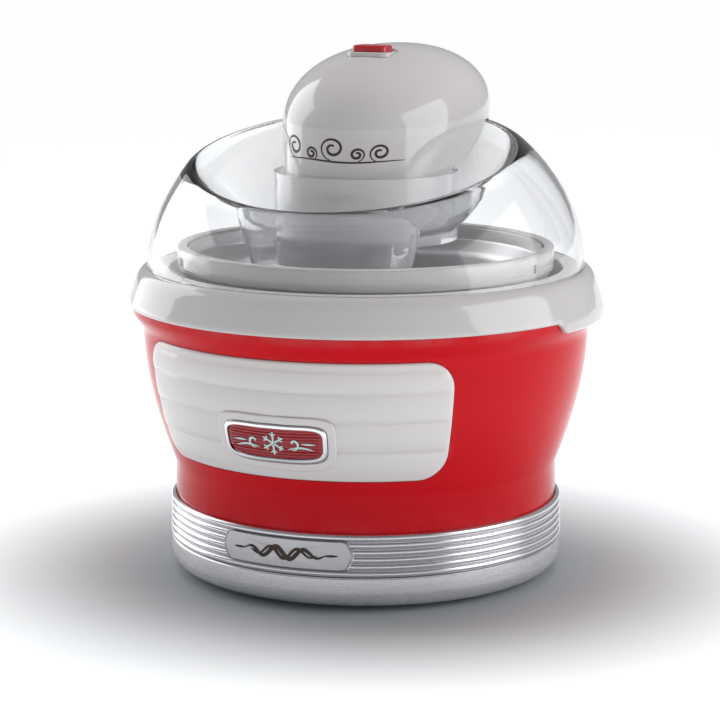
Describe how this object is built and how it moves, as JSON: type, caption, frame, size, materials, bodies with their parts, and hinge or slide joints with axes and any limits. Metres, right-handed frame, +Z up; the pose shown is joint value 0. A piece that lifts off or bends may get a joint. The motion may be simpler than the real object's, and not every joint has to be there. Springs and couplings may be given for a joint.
{
  "type": "ice cream maker",
  "caption": "Table-top ice cream maker: round body, lift-out freezer bowl with a turning paddle, clear sloping lid and a domed motor unit on top.",
  "frame": {"origin": "on the table, at the centre of the machine's bounding box's underside, under the vertical axis of bowl and paddle", "axes": "+Z up along the axis of bowl, paddle and drive shaft; the badge and the filling chute face -Y; the motor unit overhangs the lid towards +Y; +X is to the right seen from the front"},
  "size_m": [0.2314, 0.2296, 0.2543],
  "materials": {
    "silver": "satin metallic paint",
    "red": "high gloss",
    "white_gloss": "high gloss",
    "white_matte": "fine matte",
    "clear": "clear, polished",
    "chrome": "bright",
    "mint": "printed",
    "aluminium": "dull anodised",
    "gel": "frozen gel",
    "rubber": "matte",
    "steel": "plain",
    "nylon": "moulded",
    "black": "moulded",
    "brass": "machined"
  },
  "bodies": {
    "base": {"base_tray": "silver", "base_band": "silver", "name_plate": "silver", "body_shell": "red", "front_panel": "white_gloss", "badge_bezel": "chrome", "badge_plate": "red", "badge_emblem": "mint", "collar_ring": "white_gloss", "bowl_seat": "white_matte", "foot_front": "rubber", "foot_right": "rubber", "foot_rear": "rubber", "foot_left": "rubber", "base_screw_1": "steel", "base_screw_2": "steel", "base_screw_3": "steel", "base_screw_4": "steel"},
    "bowl": {"bowl_outer_wall": "white_matte", "bowl_inner_wall": "aluminium", "coolant_gel": "gel", "bowl_rim": "white_gloss"},
    "paddle": {"paddle": "white_matte"},
    "lid": {"lid": "clear"},
    "motor_unit": {"motor_housing": "white_gloss", "motor_base": "white_matte", "button_bezel": "white_gloss", "power_switch": "black", "switch_bracket": "white_matte", "motor_can": "steel", "gearbox_plate": "steel", "output_bush": "brass", "idler_axle": "steel", "cord_gland": "black", "button_spring": "steel", "cover_screw_1": "steel", "cover_screw_2": "steel", "cover_screw_3": "steel", "cover_screw_4": "steel"},
    "drive": {"drive_shaft": "steel", "output_gear": "nylon"},
    "idler": {"idler_gear": "nylon"},
    "rotor": {"motor_pinion": "brass"},
    "button": {"power_button": "red"}
  },
  "joints": [
    {"name": "bowl_lift", "type": "slide", "parent": "base", "child": "bowl", "axis": [0, 0, 1], "range_m": [0, 0.13]},
    {"name": "lid_lift", "type": "slide", "parent": "bowl", "child": "lid", "axis": [0, 0, 1], "range_m": [0, 0.1]},
    {"name": "motor_lift", "type": "slide", "parent": "lid", "child": "motor_unit", "axis": [0, 0, 1], "range_m": [0, 0.08]},
    {"name": "paddle_spin", "type": "hinge", "parent": "bowl", "child": "paddle", "pos_m": [0, 0, 0.1], "axis": [0, 0, 1], "continuous": true},
    {"name": "drive_spin", "type": "hinge", "parent": "motor_unit", "child": "drive", "pos_m": [0, 0, 0.17], "axis": [0, 0, 1], "continuous": true},
    {"name": "idler_spin", "type": "hinge", "parent": "motor_unit", "child": "idler", "pos_m": [0, 0.023, 0.18], "axis": [0, 0, 1], "continuous": true},
    {"name": "rotor_spin", "type": "hinge", "parent": "motor_unit", "child": "rotor", "pos_m": [0, 0.006, 0.185], "axis": [0, 0, 1], "continuous": true},
    {"name": "button_press", "type": "slide", "parent": "motor_unit", "child": "button", "axis": [0, 0, -1], "range_m": [0, 0.002], "stiffness_N_per_m": 400, "springref_m": -0.001, "deforming": ["button_spring"]}
  ],
  "couplings": [
    {"joint": "drive_spin", "follows": "paddle_spin", "ratio": 1},
    {"joint": "idler_spin", "follows": "paddle_spin", "ratio": -3.6},
    {"joint": "rotor_spin", "follows": "paddle_spin", "ratio": 8.64}
  ]
}
